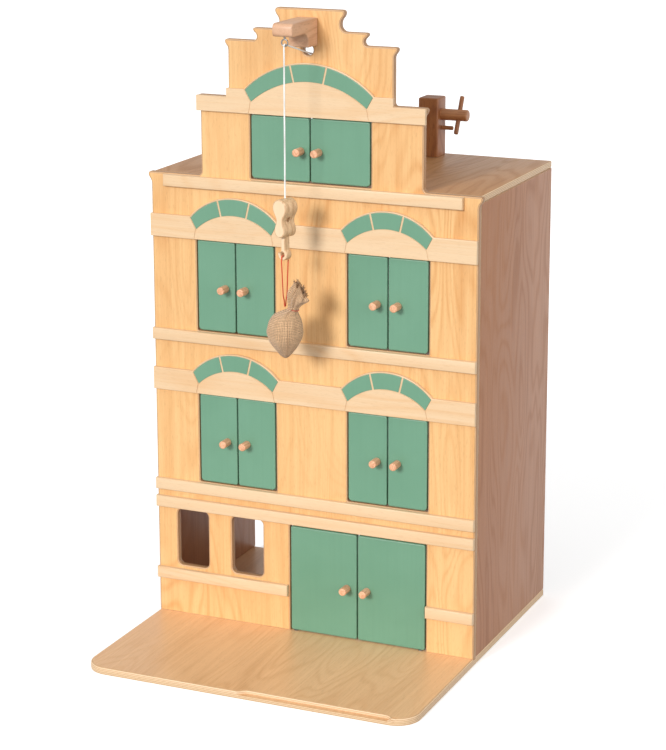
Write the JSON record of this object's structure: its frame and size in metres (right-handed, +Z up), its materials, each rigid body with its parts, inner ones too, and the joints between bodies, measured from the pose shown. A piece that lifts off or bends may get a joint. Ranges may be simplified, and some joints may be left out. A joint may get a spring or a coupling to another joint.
{
  "type": "dollhouse",
  "caption": "Wooden canal-house dollhouse with an open back, stepped gable, green double doors and shutters on pins, and a roof winch that lifts a hook and sack.",
  "frame": {"origin": "middle of the base board's underside, midway between its front and back edges", "axes": "+X across the front to the right as seen from the front, +Y from the front to the open back, +Z up; the front faces -Y"},
  "size_m": [0.449, 0.477, 0.809],
  "materials": {
    "facade_birch": "satin lacquer over honey birch",
    "pale_birch": "satin, pale birch",
    "side_beech": "satin, brown veneer",
    "board_birch": "satin lacquer",
    "green_paint": "satin sea-green paint on board",
    "knob_beech": "satin, pink beech dowel",
    "hoist_beech": "satin, steamed beech",
    "steel": "plain wire",
    "white_cord": "twisted white cord",
    "hook_birch": "sanded birch ply",
    "red_string": "red twisted string",
    "burlap": "coarse woven jute"
  },
  "bodies": {
    "house": {"base_board": "board_birch", "side_left": "side_beech", "side_right": "side_beech", "roof": "side_beech", "floor_lower": "side_beech", "floor_upper": "side_beech", "facade": "facade_birch", "band_attic": "pale_birch", "band_upper": "pale_birch", "band_lower": "pale_birch", "cornice_strip": "pale_birch", "sill_upper": "pale_birch", "sill_lower": "pale_birch", "string_course": "pale_birch", "ground_strip_left": "pale_birch", "ground_strip_right": "pale_birch", "hoist_beam": "hoist_beech", "screw_eye": "steel", "winch_post_left": "hoist_beech", "winch_post_right": "hoist_beech", "stop_peg": "hoist_beech", "cord_run": "white_cord", "cord_drop": "white_cord"},
    "winch": {"winch_axle": "hoist_beech", "crank_pin": "hoist_beech", "cord_winding": "white_cord"},
    "hook": {"hook_core": "hook_birch", "hook_cheek_front": "hook_birch", "hook_cheek_back": "hook_birch"},
    "load": {"red_loop": "red_string", "neck_tie": "red_string", "sack": "burlap"},
    "attic_left_leaf": {"leaf_attic_left": "green_paint", "knob_attic_left": "knob_beech"},
    "attic_right_leaf": {"leaf_attic_right": "green_paint", "knob_attic_right": "knob_beech"},
    "upper_left_left_leaf": {"leaf_upper_left_left": "green_paint", "knob_upper_left_left": "knob_beech"},
    "upper_left_right_leaf": {"leaf_upper_left_right": "green_paint", "knob_upper_left_right": "knob_beech"},
    "upper_right_left_leaf": {"leaf_upper_right_left": "green_paint", "knob_upper_right_left": "knob_beech"},
    "upper_right_right_leaf": {"leaf_upper_right_right": "green_paint", "knob_upper_right_right": "knob_beech"},
    "lower_left_left_leaf": {"leaf_lower_left_left": "green_paint", "knob_lower_left_left": "knob_beech"},
    "lower_left_right_leaf": {"leaf_lower_left_right": "green_paint", "knob_lower_left_right": "knob_beech"},
    "lower_right_left_leaf": {"leaf_lower_right_left": "green_paint", "knob_lower_right_left": "knob_beech"},
    "lower_right_right_leaf": {"leaf_lower_right_right": "green_paint", "knob_lower_right_right": "knob_beech"},
    "ground_left_leaf": {"leaf_ground_left": "green_paint", "knob_ground_left": "knob_beech"},
    "ground_right_leaf": {"leaf_ground_right": "green_paint", "knob_ground_right": "knob_beech"}
  },
  "joints": [
    {"name": "winch_spin", "type": "hinge", "parent": "house", "child": "winch", "pos_m": [-0.002, 0.2155, 0.65], "axis": [-1, 0, 0], "range_deg": [-2442, 977]},
    {"name": "hook_lift", "type": "slide", "parent": "house", "child": "hook", "axis": [0, 0, 1], "range_m": [-0.375, 0.15], "deforming": ["cord_drop"]},
    {"name": "load_swing", "type": "hinge", "parent": "hook", "child": "load", "pos_m": [-0.00314, -0.09963, 0.5176], "axis": [0.309, 0.9511, 0], "range_deg": [-25, 25]},
    {"name": "attic_left_hinge", "type": "hinge", "parent": "house", "child": "attic_left_leaf", "pos_m": [-0.0733, -0.0275, 0.5967], "axis": [0, 0, -1], "range_deg": [0, 105]},
    {"name": "attic_right_hinge", "type": "hinge", "parent": "house", "child": "attic_right_leaf", "pos_m": [0.0733, -0.0275, 0.5967], "axis": [0, 0, 1], "range_deg": [0, 105]},
    {"name": "upper_left_left_hinge", "type": "hinge", "parent": "house", "child": "upper_left_left_leaf", "pos_m": [-0.1501, -0.0275, 0.3957], "axis": [0, 0, -1], "range_deg": [0, 105]},
    {"name": "upper_left_right_hinge", "type": "hinge", "parent": "house", "child": "upper_left_right_leaf", "pos_m": [-0.0565, -0.0275, 0.3957], "axis": [0, 0, 1], "range_deg": [0, 105]},
    {"name": "upper_right_left_hinge", "type": "hinge", "parent": "house", "child": "upper_right_left_leaf", "pos_m": [0.0565, -0.0275, 0.3957], "axis": [0, 0, -1], "range_deg": [0, 105]},
    {"name": "upper_right_right_hinge", "type": "hinge", "parent": "house", "child": "upper_right_right_leaf", "pos_m": [0.1501, -0.0275, 0.3957], "axis": [0, 0, 1], "range_deg": [0, 105]},
    {"name": "lower_left_left_hinge", "type": "hinge", "parent": "house", "child": "lower_left_left_leaf", "pos_m": [-0.1501, -0.0275, 0.1947], "axis": [0, 0, -1], "range_deg": [0, 105]},
    {"name": "lower_left_right_hinge", "type": "hinge", "parent": "house", "child": "lower_left_right_leaf", "pos_m": [-0.0565, -0.0275, 0.1947], "axis": [0, 0, 1], "range_deg": [0, 105]},
    {"name": "lower_right_left_hinge", "type": "hinge", "parent": "house", "child": "lower_right_left_leaf", "pos_m": [0.0565, -0.0275, 0.1947], "axis": [0, 0, -1], "range_deg": [0, 105]},
    {"name": "lower_right_right_hinge", "type": "hinge", "parent": "house", "child": "lower_right_right_leaf", "pos_m": [0.1501, -0.0275, 0.1947], "axis": [0, 0, 1], "range_deg": [0, 105]},
    {"name": "ground_left_hinge", "type": "hinge", "parent": "house", "child": "ground_left_leaf", "pos_m": [-0.0235, -0.0275, 0.0103], "axis": [0, 0, -1], "range_deg": [0, 105]},
    {"name": "ground_right_hinge", "type": "hinge", "parent": "house", "child": "ground_right_leaf", "pos_m": [0.1485, -0.0275, 0.0103], "axis": [0, 0, 1], "range_deg": [0, 105]}
  ],
  "couplings": [
    {"joint": "winch_spin", "follows": "hook_lift", "rad_per_m": 113.64}
  ]
}
